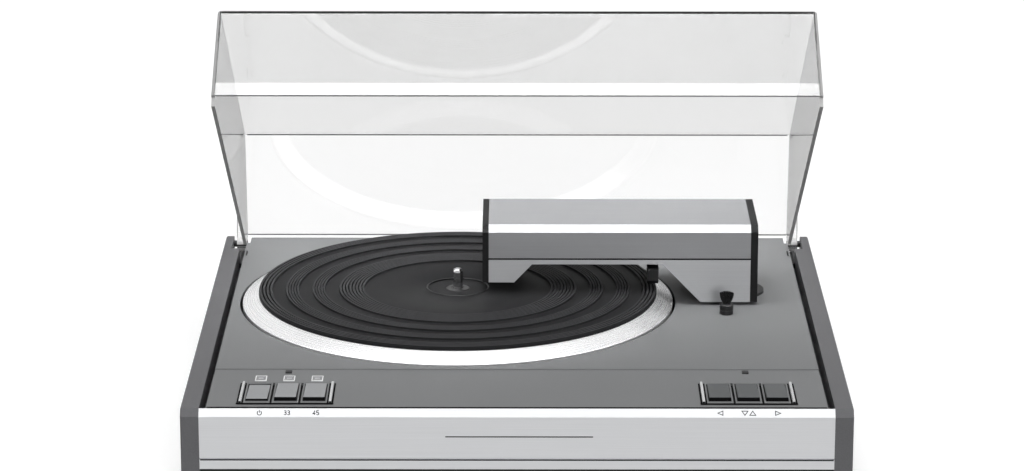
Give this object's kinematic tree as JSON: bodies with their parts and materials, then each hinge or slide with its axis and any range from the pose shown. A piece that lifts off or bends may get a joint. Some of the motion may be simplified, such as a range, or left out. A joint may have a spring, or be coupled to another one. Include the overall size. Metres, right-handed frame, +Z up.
{
  "type": "linear tracking turntable",
  "caption": "Direct drive record player with a swing-out tracking bridge over the platter, touch keys along the front, metal cheeks and a hinged clear dust cover, shown open.",
  "frame": {"origin": "on the spindle's axis at the top of the platter mat, where a record lies", "axes": "+X to the right of the deck, +Y to its rear and +Z up along the spindle"},
  "size_m": [0.451, 0.429, 0.293],
  "materials": {
    "deck": "satin metallic silver",
    "trim_metal": "brushed",
    "casing": "fine grained",
    "cheek": "fine grained",
    "steel_base": "matt black",
    "black_plastic": "matt",
    "rubber": "matt",
    "mat_rubber": "grooved",
    "platter_metal": "turned",
    "steel": "ground",
    "chrome": "polished",
    "magnet": "matt",
    "board": "lacquered",
    "iron_core": "laminated",
    "copper": "enamelled wire",
    "brass": "turned",
    "key": "satin",
    "lamp": "smoked",
    "clear_acrylic": "clear",
    "bridge_skin": "satin metallic silver",
    "bridge_casting": "matt",
    "white_plastic": "satin",
    "bristle": "fibres"
  },
  "bodies": {
    "chassis": {"deck_plate": "deck", "plinth": "casing", "front_fascia": "trim_metal", "left_cheek": "cheek", "right_cheek": "cheek", "rear_panel": "black_plastic", "mains_inlet": "black_plastic", "phono_sockets": "brass", "ground_post": "chrome", "base_pan": "steel_base", "feet": "black_plastic", "foot_pads": "rubber", "main_board": "board", "transformer": "iron_core", "key_boards": "board", "motor_stator": "copper", "bearing_housing": "brass", "left_key_frame": "black_plastic", "right_key_frame": "black_plastic", "key_trims": "chrome", "lamp_windows": "lamp", "cover_bumpers": "rubber", "hinge_pins": "steel", "pivot_turret": "bridge_casting", "brush_holder": "black_plastic", "brush_bristles": "bristle"},
    "platter_body": {"platter": "platter_metal", "platter_mat": "mat_rubber", "spindle": "steel", "rotor_ring": "magnet"},
    "cover_body": {"dust_cover": "clear_acrylic"},
    "bridge_body": {"bridge_cover": "bridge_skin", "bridge_front_panel": "bridge_skin", "bridge_rear_panel": "bridge_skin", "bridge_left_cap": "black_plastic", "bridge_right_cap": "black_plastic", "bridge_frame": "bridge_casting", "bridge_floor": "bridge_casting", "guide_rods": "steel", "tracking_motor": "steel", "idler_axle": "steel", "drive_belt": "rubber"},
    "carriage_body": {"carriage": "white_plastic"},
    "drive_pulley_body": {"drive_pulley": "white_plastic"},
    "idler_pulley_body": {"idler_pulley": "white_plastic"},
    "yoke_body": {"tracking_yoke": "black_plastic"},
    "arm_body": {"tonearm": "trim_metal", "counterweight": "brass", "cartridge": "black_plastic", "stylus": "white_plastic"},
    "power_key_body": {"power_key": "key"},
    "speed_33_key_body": {"speed_33_key": "key"},
    "speed_45_key_body": {"speed_45_key": "key"},
    "move_left_key_body": {"move_left_key": "key"},
    "lift_key_body": {"lift_key": "key"},
    "move_right_key_body": {"move_right_key": "key"}
  },
  "joints": [
    {"name": "platter_spin", "type": "hinge", "parent": "chassis", "child": "platter_body", "pos_m": [0, 0, 0], "axis": [0, 0, 1], "continuous": true},
    {"name": "cover_hinge", "type": "hinge", "parent": "chassis", "child": "cover_body", "pos_m": [0.0434, 0.16, -0.014], "axis": [-1, 0, 0], "range_deg": [-33.45, 27]},
    {"name": "bridge_swing", "type": "hinge", "parent": "chassis", "child": "bridge_body", "pos_m": [0.2044, 0.022, 0], "axis": [0, 0, 1], "range_deg": [0, 90]},
    {"name": "carriage_slide", "type": "slide", "parent": "bridge_body", "child": "carriage_body", "axis": [-1, 0, 0], "range_m": [0, 0.085]},
    {"name": "drive_pulley_turn", "type": "hinge", "parent": "bridge_body", "child": "drive_pulley_body", "pos_m": [0.1884, 0.027, 0.043], "axis": [0, 0, 1], "range_deg": [-755.3, 6]},
    {"name": "idler_pulley_turn", "type": "hinge", "parent": "bridge_body", "child": "idler_pulley_body", "pos_m": [0.0364, 0.027, 0.043], "axis": [0, 0, 1], "range_deg": [-755.3, 6]},
    {"name": "arm_track", "type": "hinge", "parent": "carriage_body", "child": "yoke_body", "pos_m": [0.1424, 0.044, 0.0124], "axis": [0, 0, 1], "range_deg": [-2, 2]},
    {"name": "arm_lower", "type": "hinge", "parent": "yoke_body", "child": "arm_body", "pos_m": [0.1424, 0.044, 0.0124], "axis": [1, 0, 0], "range_deg": [0, 2.6]},
    {"name": "power_key_press", "type": "slide", "parent": "chassis", "child": "power_key_body", "axis": [0, 0, -1], "range_m": [-0.0012, 0.001]},
    {"name": "speed_33_key_press", "type": "slide", "parent": "chassis", "child": "speed_33_key_body", "axis": [0, 0, -1], "range_m": [0, 0.0022], "stiffness_N_per_m": 300, "springref_m": -0.0008},
    {"name": "speed_45_key_press", "type": "slide", "parent": "chassis", "child": "speed_45_key_body", "axis": [0, 0, -1], "range_m": [0, 0.0022], "stiffness_N_per_m": 300, "springref_m": -0.0008},
    {"name": "move_left_key_press", "type": "slide", "parent": "chassis", "child": "move_left_key_body", "axis": [0, 0, -1], "range_m": [0, 0.0022], "stiffness_N_per_m": 300, "springref_m": -0.0008},
    {"name": "lift_key_press", "type": "slide", "parent": "chassis", "child": "lift_key_body", "axis": [0, 0, -1], "range_m": [0, 0.0022], "stiffness_N_per_m": 300, "springref_m": -0.0008},
    {"name": "move_right_key_press", "type": "slide", "parent": "chassis", "child": "move_right_key_body", "axis": [0, 0, -1], "range_m": [0, 0.0022], "stiffness_N_per_m": 300, "springref_m": -0.0008}
  ],
  "couplings": [
    {"joint": "drive_pulley_turn", "follows": "carriage_slide", "rad_per_m": -153.85},
    {"joint": "idler_pulley_turn", "follows": "carriage_slide", "rad_per_m": -153.85}
  ]
}
